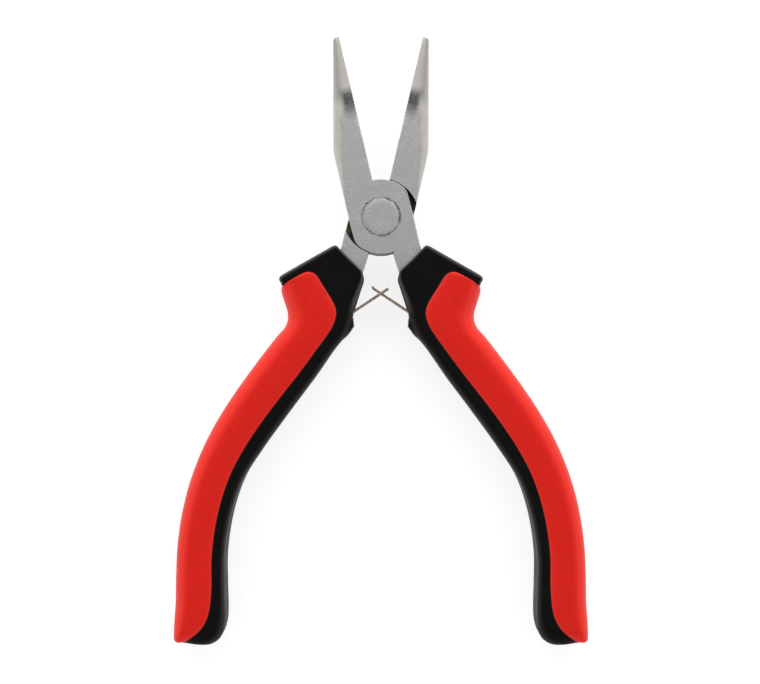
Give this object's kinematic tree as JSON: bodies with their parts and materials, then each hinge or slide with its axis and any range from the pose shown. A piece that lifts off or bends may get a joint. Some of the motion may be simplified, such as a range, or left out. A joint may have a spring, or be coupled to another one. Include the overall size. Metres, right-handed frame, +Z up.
{
  "type": "needle nose pliers",
  "caption": "Small needle nose pliers with a riveted lap joint, smooth tapering jaws toothed near the tips, two-colour moulded grips and interlocking leaf return springs.",
  "frame": {"origin": "under the middle of the bounding box, on the surface the pliers lie on", "axes": "+Y from the handles towards the jaw tips, along the centre line; +Z up, through the tool's thickness, parallel to the pivot; +X to the right, across the open handles"},
  "size_m": [0.0882, 0.1296, 0.0114],
  "materials": {
    "ground_steel": "ground flats with a fine grain, bare",
    "rivet_steel": "ground flush with the head",
    "spring_steel": "tempered strip, brownish",
    "black_plastic": "fine matt texture",
    "red_rubber": "soft overmould, satin"
  },
  "bodies": {
    "back_half": {"back_half": "ground_steel", "pivot_rivet": "rivet_steel", "left_grip_core": "black_plastic", "left_grip_cover": "red_rubber", "left_spring_rivet": "spring_steel"},
    "front_half": {"front_half": "ground_steel", "right_grip_core": "black_plastic", "right_grip_cover": "red_rubber", "right_spring_rivet": "spring_steel"},
    "left_leaf": {"left_leaf_spring": "spring_steel"},
    "right_leaf": {"right_leaf_spring": "spring_steel"}
  },
  "joints": [
    {"name": "plier_hinge", "type": "hinge", "parent": "back_half", "child": "front_half", "pos_m": [0, 0.02624, 0.0057], "axis": [0, 0, -1], "range_deg": [-3, 26], "stiffness_Nm_per_rad": 0.8},
    {"name": "right_leaf_flex", "type": "hinge", "parent": "front_half", "child": "right_leaf", "pos_m": [0.00628, 0.00594, 0.0057], "axis": [0, 0, -1], "range_deg": [-5, 33], "deforming": ["right_leaf_spring"]},
    {"name": "left_leaf_flex", "type": "hinge", "parent": "back_half", "child": "left_leaf", "pos_m": [-0.00628, 0.00594, 0.0057], "axis": [0, 0, 1], "range_deg": [-5, 33], "deforming": ["left_leaf_spring"]}
  ],
  "couplings": [
    {"joint": "right_leaf_flex", "follows": "plier_hinge", "ratio": 1.209},
    {"joint": "left_leaf_flex", "follows": "plier_hinge", "ratio": 1.209}
  ]
}
